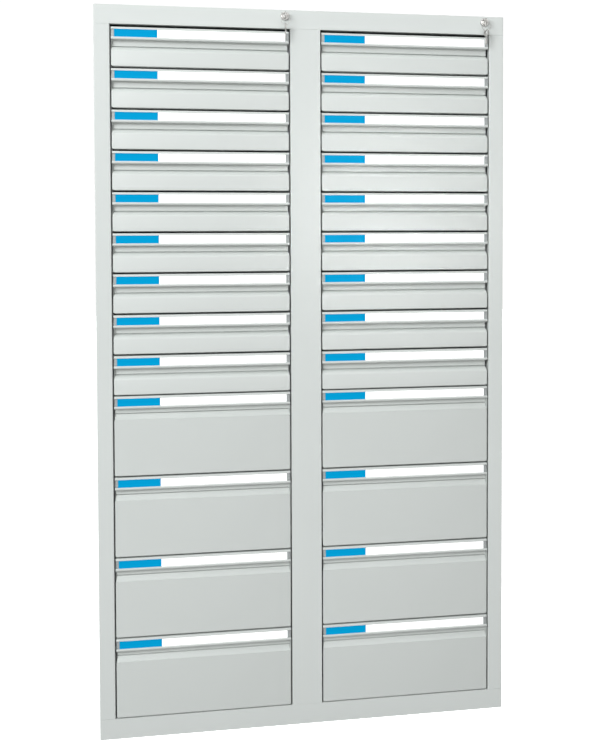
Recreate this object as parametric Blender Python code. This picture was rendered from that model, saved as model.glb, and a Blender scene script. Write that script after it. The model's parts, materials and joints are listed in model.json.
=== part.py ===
"""Industrial drawer cabinet: two columns of flush drawers in a folded sheet steel case.

Metres, +Z up. The origin is on the floor at the middle of the footprint and the front faces -Y.
Each column has shallow drawers over deep ones. A drawer is one welded piece: a folded front with a
label channel and a finger groove, a tray, and a runner along each side. Racks of slotted rails
carry the runners. One key per column turns a cam that lifts a bar with a hook for every drawer.
"""
import math

import bmesh
import bpy
from mathutils import Matrix, Vector

# Case
CASE_DEPTH = 0.600
OPENING_WIDTH = 0.435
SIDE_STILE = 0.0375
CENTRE_STILE = 0.075
PLINTH_HEIGHT = 0.050
TOP_RAIL_HEIGHT = 0.046
SHEET = 0.0012
FRONT_RETURN = 0.020
REAR_FLANGE = 0.015
BEND_RADIUS = 0.002
STIFFENER_WIDTH = 0.060
STIFFENER_SHEET = 0.002
BACK_RETURN = 0.012

# Drawer stack
SHALLOW_COUNT = 9
DEEP_COUNT = 4
SHALLOW_PITCH = 0.100
DEEP_PITCH = 0.200
SHALLOW_GAP = 0.0038
DEEP_GAP = 0.0028
SEAT_GAP = 0.001
TOP_GAP = 0.004
SIDE_GAP = 0.0032

# Drawer front, measured down from its top edge and back from its face
FRONT_DEPTH = 0.020
LIP_TOP = 0.0055
LABEL_WINDOW = 0.019
LIP_BOTTOM = 0.0065
LIP_SHEET = 0.0014
LIP_PROUD = 0.0025
SLOT_DEPTH = 0.0020
SLOT_REACH = 0.0025
TOP_BEND = 0.0036
SLOPE_BEND = 0.0036
FRONT_BEND = 0.0018
BOTTOM_FLANGE = 0.010
SHALLOW_GROOVE_HEIGHT = 0.0155
SHALLOW_GROOVE_DEPTH = 0.0135
SHALLOW_SLOPE_HEIGHT = 0.0125
DEEP_GROOVE_HEIGHT = 0.0125
DEEP_GROOVE_DEPTH = 0.0095
DEEP_SLOPE_HEIGHT = 0.014

# Tray and runners
TRAY_SIDE_SPACE = 0.0125
TRAY_FLOOR_RISE = 0.010
TRAY_TOP_DROP = 0.030
TRAY_LENGTH = 0.520
TRAY_RIM = 0.006
REAR_WALL_INSET = 0.004
REAR_WALL_DROP = 0.003
RUNNER_INSET = 0.0005
RUNNER_RISE = 0.015
RUNNER_HEIGHT = 0.020
RAIL_SHEET = 0.0015
RAIL_FLANGE = 0.008
RAIL_SIDE_GAP = 0.0008
RAIL_START = 0.045
RAIL_BACK_SPACE = 0.040
POST_DEPTH = 0.030
POST_SHEET = 0.002
POST_FLANGE = 0.015
RAIL_TAIL = 0.030
WELD = 0.0005

# Locking bar, one for each column, behind the stile at the column's right
CATCH_START = 0.0335
CATCH_DEPTH = 0.004
CATCH_RISE = 0.050
CATCH_HEIGHT = 0.008
HOOK_START = 0.029
HOOK_DEPTH = 0.003
HOOK_HEIGHT = 0.008
HOOK_REACH = 0.0085
HOOK_DROP = 0.001
BAR_START = 0.028
BAR_DEPTH = 0.012
BAR_SHEET = 0.003
BAR_OFFSET = 0.006
BAR_TRAVEL = 0.010
YOKE_START = 0.031
YOKE_DEPTH = 0.003
YOKE_MARGIN = 0.0035
GUIDE_WALL = 0.002
GUIDE_STEM = 0.005
GUIDE_HEIGHT = 0.020
GUIDE_LOW_RISE = 0.030
GUIDE_HIGH_DROP = 0.040

# Lock, measured from its centre in the top rail
LOCK_INSET = 0.0125
LOCK_DROP = 0.015
LOCK_FACE_RIM = 0.002
LOCK_FACE_PROUD = 0.0032
LOCK_FACE_BEVEL = 0.0010
LOCK_RECESS = 0.0008
LOCK_BODY_WALL = 0.0027
LOCK_BODY_END = 0.0235
PLUG_RADIUS = 0.006
PLUG_PROUD = 0.0026
PLUG_END = 0.0262
NUT_RIM = 0.0045
NUT_THICKNESS = 0.004
CAM_RADIUS = 0.0095
CAM_THICKNESS = 0.003
PIN_RADIUS = 0.0025
PIN_PLAY = 0.0006
PIN_LENGTH = 0.0045

# Keys and the ring that holds the spare
KEY_SHEET = 0.0022
KEY_BOW_RADIUS = 0.009
KEY_HOLE_RADIUS = 0.003
KEY_HOLE_OFFSET = 0.0035
KEY_NECK = 0.0045
KEY_BLADE_LENGTH = 0.016
KEY_BLADE_HALF_HEIGHT = 0.0037
KEY_TIP = 0.003
KEY_CUT_DEPTH = 0.0012
KEY_CUT_SHARES = (0.17, 0.34, 0.51, 0.68)
KEY_CUT_HALF_WIDTH = 0.0010
RING_RADIUS = 0.011
RING_WIRE_RADIUS = 0.0007
SPARE_YAWS = {"left": math.radians(3), "right": math.radians(29)}

# Running clearance between pieces that touch, and how far cutters run past a face
CLEARANCE = 0.0003
OVERRUN = 0.010

ROUND_STEPS = 20
WIRE_STEPS = 8
BOW_STEPS = 14
HOLE_STEPS = 12
LIP_STEPS = 6
NUT_SIDES = 6

# Places that follow from the sizes
CASE_WIDTH = 2 * SIDE_STILE + CENTRE_STILE + 2 * OPENING_WIDTH
STACK_HEIGHT = DEEP_COUNT * DEEP_PITCH + SHALLOW_COUNT * SHALLOW_PITCH
STACK_TOP = PLINTH_HEIGHT + STACK_HEIGHT + TOP_GAP
CASE_HEIGHT = STACK_TOP + TOP_RAIL_HEIGHT
FRONT_Y = -CASE_DEPTH / 2
BACK_Y = CASE_DEPTH / 2
COLUMN_X = (CENTRE_STILE + OPENING_WIDTH) / 2
FRONT_HALF_WIDTH = OPENING_WIDTH / 2 - SIDE_GAP
TRAY_HALF_WIDTH = OPENING_WIDTH / 2 - TRAY_SIDE_SPACE
RUNNER_HALF_WIDTH = FRONT_HALF_WIDTH - RUNNER_INSET
RAIL_INNER = RUNNER_HALF_WIDTH + RAIL_SIDE_GAP
POST_INNER = RAIL_INNER + RAIL_SHEET - WELD
BACK_PANEL_Y = BACK_Y - SHEET - CLEARANCE
RAIL_END = CASE_DEPTH - RAIL_BACK_SPACE
LOCK_Z = CASE_HEIGHT - LOCK_DROP
LOCK_BODY_RADIUS = PLUG_RADIUS + CLEARANCE + LOCK_BODY_WALL
LOCK_FACE_RADIUS = LOCK_BODY_RADIUS + LOCK_FACE_RIM
NUT_RADIUS = LOCK_BODY_RADIUS + NUT_RIM
CAM_THROW = BAR_TRAVEL / math.sqrt(2)
CAM_START = PLUG_END + CLEARANCE


def behind(distance):
    """World y of a point this far behind the case's front plane."""
    return FRONT_Y + distance


def material(name, colour, roughness, metallic):
    """A Principled material for one kind of surface."""
    made = bpy.data.materials.new(name)
    made.use_nodes = True
    shader = made.node_tree.nodes["Principled BSDF"]
    shader.inputs["Base Color"].default_value = (*colour, 1.0)
    shader.inputs["Roughness"].default_value = roughness
    shader.inputs["Metallic"].default_value = metallic
    made.diffuse_color = (*colour, 1.0)
    return made


def prism(outline, axis, start, end):
    """Mesh of a flat outline drawn out along an axis, closed at both ends.

    The outline is (y, z) for axis X, (x, z) for axis Y and (x, y) for axis Z.
    """
    place = {
        "X": lambda a, b, c: (c, a, b),
        "Y": lambda a, b, c: (a, c, b),
        "Z": lambda a, b, c: (a, b, c),
    }[axis]
    shape = bmesh.new()
    near = [shape.verts.new(place(a, b, start)) for a, b in outline]
    far = [shape.verts.new(place(a, b, end)) for a, b in outline]
    shape.faces.new(near)
    shape.faces.new(far)
    for index in range(len(outline)):
        after = (index + 1) % len(outline)
        shape.faces.new((near[index], near[after], far[after], far[index]))
    return finished(shape)


def box(low, high):
    """Mesh of a box between two corners."""
    outline = [(low[0], low[1]), (high[0], low[1]), (high[0], high[1]), (low[0], high[1])]
    return prism(outline, "Z", low[2], high[2])


def turned(profile, steps):
    """Mesh of a profile of (radius, y) points turned about the Y axis."""
    shape = bmesh.new()
    rings = []
    for radius, y in profile:
        if radius == 0:
            rings.append([shape.verts.new((0, y, 0))] * steps)
            continue
        ring = []
        for step in range(steps):
            angle = 2 * math.pi * step / steps
            ring.append(shape.verts.new((radius * math.cos(angle), y, radius * math.sin(angle))))
        rings.append(ring)
    closed = profile[0][0] != 0
    for index in range(len(rings) if closed else len(rings) - 1):
        ring, after = rings[index], rings[(index + 1) % len(rings)]
        for step in range(steps):
            nxt = (step + 1) % steps
            corners = []
            for vert in (ring[step], ring[nxt], after[nxt], after[step]):
                if vert not in corners:
                    corners.append(vert)
            shape.faces.new(corners)
    return finished(shape)


def torus(ring_radius, wire_radius, steps, wire_steps):
    """Mesh of a ring lying round the Y axis."""
    profile = []
    for step in range(wire_steps):
        angle = 2 * math.pi * step / wire_steps
        profile.append((ring_radius + wire_radius * math.cos(angle), wire_radius * math.sin(angle)))
    return turned(profile, steps)


def finished(shape):
    """Turn a bmesh into a mesh with its faces pointing out."""
    bmesh.ops.recalc_face_normals(shape, faces=shape.faces)
    mesh = bpy.data.meshes.new("shape")
    shape.to_mesh(mesh)
    shape.free()
    return mesh


def moved(mesh, offset):
    """The same mesh, moved by an offset."""
    mesh.transform(Matrix.Translation(Vector(offset)))
    return mesh


def together(meshes):
    """One mesh that holds several separate bodies."""
    shape = bmesh.new()
    for mesh in meshes:
        shape.from_mesh(mesh)
    joined = bpy.data.meshes.new("shape")
    shape.to_mesh(joined)
    shape.free()
    return joined


def combined(base, added=(), cut=()):
    """A mesh with others joined to it and then others cut from it."""
    holder = bpy.data.objects.new("base", base)
    bpy.context.scene.collection.objects.link(holder)
    helpers = []
    for operation, meshes in (("UNION", added), ("DIFFERENCE", cut)):
        for mesh in meshes:
            helper = bpy.data.objects.new("helper", mesh)
            bpy.context.scene.collection.objects.link(helper)
            helpers.append(helper)
            step = holder.modifiers.new(operation, "BOOLEAN")
            step.operation = operation
            step.object = helper
            step.solver = "EXACT"
    seen = holder.evaluated_get(bpy.context.evaluated_depsgraph_get())
    result = bpy.data.meshes.new_from_object(seen)
    for helper in helpers + [holder]:
        bpy.data.objects.remove(helper)
    return result


def sheet_outline(path, thickness):
    """Closed outline of a folded sheet from the line of its outer side, folded at full thickness.

    The sheet lies to the left of the path.
    """
    inner = []
    for index, point in enumerate(path):
        here = Vector(point)
        arrive = (here - Vector(path[index - 1])).normalized() if index else None
        leave = (Vector(path[index + 1]) - here).normalized() if index < len(path) - 1 else None
        if arrive is None:
            arrive = leave
        if leave is None:
            leave = arrive
        first = Vector((-arrive.y, arrive.x))
        second = Vector((-leave.y, leave.x))
        mitre = (first + second) / (1 + first.dot(second))
        inner.append(tuple(here + mitre * thickness))
    return list(path) + inner[::-1]


def bent(path, radius, steps=2):
    """The path with each inner corner replaced by a short arc."""
    rounded = [path[0]]
    for before, corner, after in zip(path, path[1:], path[2:]):
        corner = Vector(corner)
        back = (Vector(before) - corner).normalized()
        ahead = (Vector(after) - corner).normalized()
        half = back.angle(ahead) / 2
        reach = radius / math.tan(half)
        centre = corner + (back + ahead).normalized() * radius / math.sin(half)
        start = corner + back * reach - centre
        end = corner + ahead * reach - centre
        for step in range(steps + 1):
            share = step / steps
            spoke = start.lerp(end, share).normalized() * radius
            rounded.append(tuple(centre + spoke))
    rounded.append(path[-1])
    return rounded


def node(name, mesh, look, place=(0, 0, 0), parent=None, smooth=False):
    """Add one named piece to the scene."""
    piece = bpy.data.objects.new(name, mesh)
    bpy.context.scene.collection.objects.link(piece)
    if not mesh.materials:
        mesh.materials.append(look)
    mesh.materials[0] = look
    if smooth:
        mesh.shade_smooth()
        mesh.set_sharp_from_angle(angle=math.radians(40))
    piece.location = place
    piece.parent = parent
    return piece


def pivot(name, place, parent=None):
    """An empty on a joint's axis, which carries the pieces that move with it."""
    empty = bpy.data.objects.new(name, None)
    bpy.context.scene.collection.objects.link(empty)
    empty.location = place
    empty.parent = parent
    return empty


def side_panel(sign):
    """Side of the case with its front stile and rear flange, folded from one sheet."""
    outer = sign * CASE_WIDTH / 2
    opening = outer - sign * SIDE_STILE
    path = [
        (opening, behind(FRONT_RETURN)),
        (opening, FRONT_Y),
        (outer, FRONT_Y),
        (outer, BACK_Y),
        (outer - sign * REAR_FLANGE, BACK_Y),
    ]
    outline = sheet_outline(bent(path, BEND_RADIUS), sign * SHEET)
    return prism(outline, "Z", PLINTH_HEIGHT + CLEARANCE, STACK_TOP - CLEARANCE)


def centre_partition():
    """Two sheets back to back behind the wide centre stile."""
    half = CENTRE_STILE / 2
    rear = BACK_PANEL_Y - SHEET - CLEARANCE
    right = [
        (half, FRONT_Y),
        (half, behind(FRONT_RETURN)),
        (half - SHEET, behind(FRONT_RETURN)),
        (half - SHEET, behind(SHEET)),
        (SHEET, behind(SHEET)),
        (SHEET, rear),
    ]
    left = [(-x, y) for x, y in reversed(right)]
    return prism(right + left, "Z", PLINTH_HEIGHT + CLEARANCE, STACK_TOP - CLEARANCE)


def pan(low, height):
    """A shallow tray of folded sheet, upside down, with a return round its open lower side."""
    half = CASE_WIDTH / 2
    high = low + height
    outline = bent(
        [
            (0, FRONT_Y),
            (half, FRONT_Y),
            (half, BACK_Y),
            (-half, BACK_Y),
            (-half, FRONT_Y),
            (0, FRONT_Y),
        ],
        BEND_RADIUS,
    )[:-1]
    shell = prism(outline, "Z", low, high)
    inside = box(
        (-half + SHEET, FRONT_Y + SHEET, low + SHEET),
        (half - SHEET, BACK_Y - SHEET, high - SHEET),
    )
    mouth = box(
        (-half + REAR_FLANGE, behind(FRONT_RETURN), low - OVERRUN),
        (half - REAR_FLANGE, BACK_Y - REAR_FLANGE, low + 2 * SHEET),
    )
    return shell, [inside, mouth]


def top_panel():
    """Top of the case with its deep front rail, bored for the locks."""
    shell, cuts = pan(STACK_TOP, TOP_RAIL_HEIGHT)
    reach = LOCK_BODY_RADIUS + CLEARANCE
    for centre in (-COLUMN_X, COLUMN_X):
        bore = turned([(0, -OVERRUN), (reach, -OVERRUN), (reach, OVERRUN), (0, OVERRUN)], ROUND_STEPS)
        cuts.append(moved(bore, (lock_x(centre), FRONT_Y, LOCK_Z)))
    return combined(shell, cut=cuts)


def base_panel():
    """Floor of the case standing on its own plinth."""
    shell, cuts = pan(0, PLINTH_HEIGHT)
    return combined(shell, cut=cuts)


def base_stiffener():
    """Channel that stands on the floor under the centre partition."""
    half = STIFFENER_WIDTH / 2
    top = PLINTH_HEIGHT - SHEET - CLEARANCE
    outline = sheet_outline([(-half, top), (-half, 0), (half, 0), (half, top)], STIFFENER_SHEET)
    return prism(outline, "Y", behind(FRONT_RETURN + CLEARANCE), BACK_Y - REAR_FLANGE - CLEARANCE)


def back_panel():
    """Back sheet in front of the side panels' rear flanges, with its edges folded forward."""
    half = CASE_WIDTH / 2 - SHEET - CLEARANCE
    path = [
        (half, BACK_PANEL_Y - BACK_RETURN),
        (half, BACK_PANEL_Y),
        (-half, BACK_PANEL_Y),
        (-half, BACK_PANEL_Y - BACK_RETURN),
    ]
    outline = sheet_outline(bent(path, BEND_RADIUS), SHEET)
    return prism(outline, "Z", PLINTH_HEIGHT + CLEARANCE, STACK_TOP - CLEARANCE)


def drawer_bays():
    """Lowest height, pitch and kind of each drawer in a column, from the bottom up."""
    bays = []
    low = PLINTH_HEIGHT
    for kind, count, pitch in (("deep", DEEP_COUNT, DEEP_PITCH), ("shallow", SHALLOW_COUNT, SHALLOW_PITCH)):
        for _ in range(count):
            bays.append((low, kind))
            low += pitch
    return bays


def front_size(kind):
    """Height of a drawer front."""
    if kind == "deep":
        return DEEP_PITCH - DEEP_GAP
    return SHALLOW_PITCH - SHALLOW_GAP


def drawer_front(kind):
    """Folded front with a label channel over a finger groove, hollow and open underneath."""
    height = front_size(kind)
    deep = kind == "deep"
    groove_height = DEEP_GROOVE_HEIGHT if deep else SHALLOW_GROOVE_HEIGHT
    groove_depth = DEEP_GROOVE_DEPTH if deep else SHALLOW_GROOVE_DEPTH
    slope_height = DEEP_SLOPE_HEIGHT if deep else SHALLOW_SLOPE_HEIGHT
    slot_back = LIP_SHEET + SLOT_DEPTH
    window_top = height - LIP_TOP
    window_low = window_top - LABEL_WINDOW
    lip_low = window_low - LIP_BOTTOM
    groove_low = lip_low - groove_height
    slope_low = groove_low - slope_height
    rear = FRONT_DEPTH + SHEET
    face = [
        (rear, height),
        *bent([(rear, height), (0, height), (0, window_top)], TOP_BEND)[1:-1],
        (0, window_top),
        (LIP_SHEET, window_top),
        (LIP_SHEET, window_top + SLOT_REACH),
        (slot_back, window_top + SLOT_REACH),
        (slot_back, window_low - SLOT_REACH),
        (LIP_SHEET, window_low - SLOT_REACH),
        (LIP_SHEET, window_low),
        (0, window_low),
        *lip_curl(window_low, lip_low),
        (groove_depth, lip_low),
        (groove_depth, groove_low),
        *bent([(groove_depth, groove_low), (0, slope_low), (0, 0)], SLOPE_BEND)[1:-1],
        *bent([(0, slope_low), (0, 0), (rear, 0)], FRONT_BEND)[1:-1],
        (rear, 0),
    ]
    hollow_front = slot_back + SHEET
    hollow = [
        (FRONT_DEPTH, height - SHEET),
        (hollow_front, height - SHEET),
        (hollow_front, lip_low + SHEET),
        (groove_depth + SHEET, lip_low + SHEET),
        (groove_depth + SHEET, groove_low - SHEET / 2),
        (SHEET, slope_low - SHEET / 2),
        (SHEET, SHEET),
        (BOTTOM_FLANGE, SHEET),
        (BOTTOM_FLANGE, -OVERRUN),
        (FRONT_DEPTH, -OVERRUN),
    ]
    reach = FRONT_HALF_WIDTH - SHEET
    shell = prism(face, "X", -FRONT_HALF_WIDTH, FRONT_HALF_WIDTH)
    return shell, prism(hollow, "X", -reach, reach)


def lip_curl(high, low):
    """Points of the lower lip, which rolls forward of the face and back under itself."""
    middle = (high + low) / 2
    half = (high - low) / 2
    points = []
    for step in range(1, LIP_STEPS):
        angle = math.pi * step / LIP_STEPS
        points.append((-LIP_PROUD * math.sin(angle), middle + half * math.cos(angle)))
    points.append((0, low))
    return points


def drawer(kind):
    """One welded drawer: front, tray with a runner along each side, rear wall and lock catch.

    Its origin is at the middle of the front's lower edge, in the front plane.
    """
    height = front_size(kind)
    front, hollow = drawer_front(kind)
    top = height - TRAY_TOP_DROP
    runner_top = RUNNER_RISE + RUNNER_HEIGHT
    right = [
        (TRAY_HALF_WIDTH, TRAY_FLOOR_RISE),
        (TRAY_HALF_WIDTH, runner_top - SHEET),
        (RUNNER_HALF_WIDTH - SHEET, runner_top - SHEET),
        (RUNNER_HALF_WIDTH - SHEET, RUNNER_RISE),
        (RUNNER_HALF_WIDTH, RUNNER_RISE),
        (RUNNER_HALF_WIDTH, runner_top),
        (TRAY_HALF_WIDTH, runner_top),
        (TRAY_HALF_WIDTH, top),
        (TRAY_HALF_WIDTH - TRAY_RIM, top),
        (TRAY_HALF_WIDTH - TRAY_RIM, top - SHEET),
        (TRAY_HALF_WIDTH - SHEET, top - SHEET),
        (TRAY_HALF_WIDTH - SHEET, TRAY_FLOOR_RISE + SHEET),
    ]
    left = [(-x, z) for x, z in reversed(right)]
    tray_rear = FRONT_DEPTH + TRAY_LENGTH
    tray = prism(right + left, "Y", FRONT_DEPTH + SHEET / 2, tray_rear)
    wall_reach = TRAY_HALF_WIDTH - SHEET / 2
    wall_end = tray_rear - REAR_WALL_INSET
    rear_wall = box(
        (-wall_reach, wall_end - SHEET, TRAY_FLOOR_RISE + SHEET / 2),
        (wall_reach, wall_end, top - REAR_WALL_DROP),
    )
    catch = box(
        (TRAY_HALF_WIDTH - SHEET / 2, CATCH_START, CATCH_RISE),
        (RUNNER_HALF_WIDTH, CATCH_START + CATCH_DEPTH, CATCH_RISE + CATCH_HEIGHT),
    )
    hollowed = combined(front, cut=[hollow])
    return combined(hollowed, added=[tray, rear_wall, catch])


def rail_rack():
    """Two uprights with a rail for every drawer, for the right side of a column.

    The origin is in the column's middle, in the front plane at floor level.
    """
    wall = (OPENING_WIDTH + CENTRE_STILE) / 2 - SHEET - CLEARANCE
    low = PLINTH_HEIGHT + CLEARANCE
    high = STACK_TOP - CLEARANCE
    posts = []
    rear_start = RAIL_END - RAIL_TAIL - POST_DEPTH
    for start in (RAIL_START, rear_start):
        end = start + POST_DEPTH
        path = [
            (POST_INNER + POST_FLANGE, end),
            (POST_INNER, end),
            (POST_INNER, start),
            (wall, start),
            (wall, start + POST_FLANGE),
        ]
        posts.append(prism(sheet_outline(path, POST_SHEET), "Z", low, high))
    rails = []
    reach = RAIL_INNER - RAIL_FLANGE
    outer = RAIL_INNER + RAIL_SHEET
    for bay_low, _ in drawer_bays():
        floor = bay_low + SEAT_GAP + RUNNER_RISE - CLEARANCE
        roof = floor + RUNNER_HEIGHT + 2 * CLEARANCE
        outline = [
            (reach, floor),
            (RAIL_INNER, floor),
            (RAIL_INNER, roof),
            (reach, roof),
            (reach, roof + RAIL_SHEET),
            (outer, roof + RAIL_SHEET),
            (outer, floor - RAIL_SHEET),
            (reach, floor - RAIL_SHEET),
        ]
        rails.append(prism(outline, "Y", RAIL_START - WELD, RAIL_END))
    return combined(together(posts), added=[together(rails)])


def mirrored(mesh):
    """A copy of a mesh mirrored left to right."""
    shape = bmesh.new()
    shape.from_mesh(mesh)
    for vert in shape.verts:
        vert.co.x = -vert.co.x
    bmesh.ops.reverse_faces(shape, faces=shape.faces)
    flipped = bpy.data.meshes.new("shape")
    shape.to_mesh(flipped)
    shape.free()
    return flipped


def lock_x(centre):
    """World x of the lock of the column with this centre."""
    return centre + OPENING_WIDTH / 2 - LOCK_INSET


def locking_bar():
    """Flat bar with a hook under each drawer's catch and a yoke round the cam's pin.

    The origin is in the column's middle, in the front plane at floor level.
    """
    opening = OPENING_WIDTH / 2
    bar_low = opening + BAR_OFFSET
    bar_high = bar_low + BAR_SHEET
    pin_x = opening - LOCK_INSET + CAM_THROW / math.sqrt(2)
    pin_z = LOCK_Z - CAM_THROW / math.sqrt(2)
    slot_half = PIN_RADIUS + PIN_PLAY
    yoke_half = slot_half + YOKE_MARGIN
    bar = box(
        (bar_low, BAR_START, PLINTH_HEIGHT + CLEARANCE),
        (bar_high, BAR_START + BAR_DEPTH, pin_z + yoke_half - WELD),
    )
    hooks = []
    for bay_low, _ in drawer_bays():
        hook_top = bay_low + SEAT_GAP + CATCH_RISE - HOOK_DROP
        hooks.append(
            box(
                (opening - HOOK_REACH, HOOK_START, hook_top - HOOK_HEIGHT),
                (bar_low + BAR_SHEET / 2, HOOK_START + HOOK_DEPTH, hook_top),
            )
        )
    yoke = box(
        (pin_x - yoke_half, YOKE_START, pin_z - yoke_half),
        (bar_low + BAR_SHEET / 2, YOKE_START + YOKE_DEPTH, pin_z + yoke_half),
    )
    slot = box(
        (pin_x - slot_half, YOKE_START - OVERRUN, pin_z - slot_half),
        (pin_x + CAM_THROW - CAM_THROW / math.sqrt(2) + slot_half, YOKE_START + OVERRUN, pin_z + slot_half),
    )
    slotted = combined(yoke, cut=[slot])
    return combined(bar, added=[together(hooks), slotted])


def bar_guide(low):
    """Bracket from the wall of the case that holds the bar in a short channel."""
    opening = OPENING_WIDTH / 2
    inner = opening + BAR_OFFSET
    outer = inner + BAR_SHEET + CLEARANCE
    wall = (OPENING_WIDTH + CENTRE_STILE) / 2 - SHEET - CLEARANCE
    front = BAR_START - CLEARANCE
    rear = BAR_START + BAR_DEPTH + CLEARANCE
    middle = (front + rear) / 2
    outline = [
        (inner, front - GUIDE_WALL),
        (outer + GUIDE_WALL, front - GUIDE_WALL),
        (outer + GUIDE_WALL, middle - GUIDE_STEM / 2),
        (wall - GUIDE_WALL, middle - GUIDE_STEM / 2),
        (wall - GUIDE_WALL, front),
        (wall, front),
        (wall, rear),
        (wall - GUIDE_WALL, rear),
        (wall - GUIDE_WALL, middle + GUIDE_STEM / 2),
        (outer + GUIDE_WALL, middle + GUIDE_STEM / 2),
        (outer + GUIDE_WALL, rear + GUIDE_WALL),
        (inner, rear + GUIDE_WALL),
        (inner, rear),
        (outer, rear),
        (outer, front),
        (inner, front),
    ]
    return prism(outline, "Z", low, low + GUIDE_HEIGHT)


def lock_housing():
    """Fixed barrel of the lock with its round face. The origin is on the front plane."""
    bore = PLUG_RADIUS + CLEARANCE
    profile = [
        (bore, -LOCK_FACE_PROUD + LOCK_RECESS),
        (bore + LOCK_RECESS, -LOCK_FACE_PROUD),
        (LOCK_FACE_RADIUS - LOCK_FACE_BEVEL, -LOCK_FACE_PROUD),
        (LOCK_FACE_RADIUS, -LOCK_FACE_PROUD + LOCK_FACE_BEVEL),
        (LOCK_FACE_RADIUS, -CLEARANCE),
        (LOCK_BODY_RADIUS, -CLEARANCE),
        (LOCK_BODY_RADIUS, LOCK_BODY_END),
        (bore, LOCK_BODY_END),
    ]
    return turned(profile, ROUND_STEPS)


def lock_nut():
    """Hexagon nut that clamps the barrel behind the rail."""
    start = SHEET + CLEARANCE
    outer = turned(
        [(0, start), (NUT_RADIUS, start), (NUT_RADIUS, start + NUT_THICKNESS), (0, start + NUT_THICKNESS)], NUT_SIDES
    )
    reach = LOCK_BODY_RADIUS + CLEARANCE
    bore = turned([(0, -OVERRUN), (reach, -OVERRUN), (reach, OVERRUN), (0, OVERRUN)], ROUND_STEPS)
    return combined(outer, cut=[bore])


def lock_plug():
    """Turning core of the lock with its keyway."""
    core = turned(
        [(0, -PLUG_PROUD), (PLUG_RADIUS, -PLUG_PROUD), (PLUG_RADIUS, PLUG_END), (0, PLUG_END)], ROUND_STEPS
    )
    half_width = KEY_SHEET / 2 + CLEARANCE
    half_height = KEY_BLADE_HALF_HEIGHT + CLEARANCE
    keyway = box(
        (-half_width, -PLUG_PROUD - OVERRUN, -half_height),
        (half_width, -PLUG_PROUD + KEY_BLADE_LENGTH + CLEARANCE, half_height),
    )
    return combined(core, cut=[keyway])


def lock_cam():
    """Disc behind the plug whose pin lifts the bar's yoke. It starts low and to the right."""
    end = CAM_START + CAM_THICKNESS
    disc = turned([(0, CAM_START), (CAM_RADIUS, CAM_START), (CAM_RADIUS, end), (0, end)], ROUND_STEPS)
    start = CAM_START + CAM_THICKNESS / 2
    finish = end + PIN_LENGTH
    pin = turned([(0, start), (PIN_RADIUS, start), (PIN_RADIUS, finish), (0, finish)], WIRE_STEPS)
    offset = CAM_THROW / math.sqrt(2)
    return combined(disc, added=[moved(pin, (offset, 0, -offset))])


def key_outline(blade_start):
    """Outline of a key along its length, from the bow's centre at zero to the tip."""
    half = KEY_BLADE_HALF_HEIGHT
    meet = math.asin(half / KEY_BOW_RADIUS)
    points = []
    for step in range(BOW_STEPS + 1):
        angle = meet + (2 * math.pi - 2 * meet) * step / BOW_STEPS
        points.append((KEY_BOW_RADIUS * math.cos(angle), KEY_BOW_RADIUS * math.sin(angle)))
    tip = blade_start + KEY_BLADE_LENGTH
    for share in KEY_CUT_SHARES:
        along = blade_start + KEY_BLADE_LENGTH * share
        points.append((along - KEY_CUT_HALF_WIDTH, -half))
        points.append((along, -half + KEY_CUT_DEPTH))
        points.append((along + KEY_CUT_HALF_WIDTH, -half))
    points.append((tip - KEY_TIP, -half))
    points.append((tip, -half + KEY_TIP))
    points.append((tip, half - KEY_TIP / 2))
    points.append((tip - KEY_TIP / 2, half))
    return points


def key():
    """Flat key with a round bow. Its length runs along +Y from the bow's centre."""
    blade_start = KEY_BOW_RADIUS + KEY_NECK
    plate = prism(key_outline(blade_start), "X", -KEY_SHEET / 2, KEY_SHEET / 2)
    hole = turned(
        [(0, -OVERRUN), (KEY_HOLE_RADIUS, -OVERRUN), (KEY_HOLE_RADIUS, OVERRUN), (0, OVERRUN)], HOLE_STEPS
    )
    hole.transform(Matrix.Rotation(math.radians(90), 4, "Z"))
    return combined(plate, cut=[moved(hole, (0, -KEY_HOLE_OFFSET, 0))])


def clear_scene():
    """Remove whatever the file holds."""
    for item in list(bpy.data.objects):
        bpy.data.objects.remove(item, do_unlink=True)


def build_case(paint, zinc):
    """Fixed panels and rail racks."""
    node("left_side_panel", side_panel(-1), paint)
    node("right_side_panel", side_panel(1), paint)
    node("centre_partition", centre_partition(), paint)
    node("top_panel", top_panel(), paint)
    node("base_panel", base_panel(), paint)
    node("base_stiffener", base_stiffener(), zinc)
    node("back_panel", back_panel(), paint)
    right_rack = rail_rack()
    left_rack = mirrored(right_rack)
    for column, centre in (("left", -COLUMN_X), ("right", COLUMN_X)):
        node(f"{column}_column_left_rail_rack", left_rack, zinc, (centre, FRONT_Y, 0))
        node(f"{column}_column_right_rail_rack", right_rack, zinc, (centre, FRONT_Y, 0))


def build_drawers(paint):
    """All drawers, numbered from the top of each column."""
    meshes = {kind: drawer(kind) for kind in ("shallow", "deep")}
    bays = drawer_bays()
    for column, centre in (("left", -COLUMN_X), ("right", COLUMN_X)):
        for index, (low, kind) in enumerate(reversed(bays)):
            name = f"{column}_drawer_{index + 1:02d}"
            node(name, meshes[kind], paint, (centre, FRONT_Y, low + SEAT_GAP))


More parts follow.
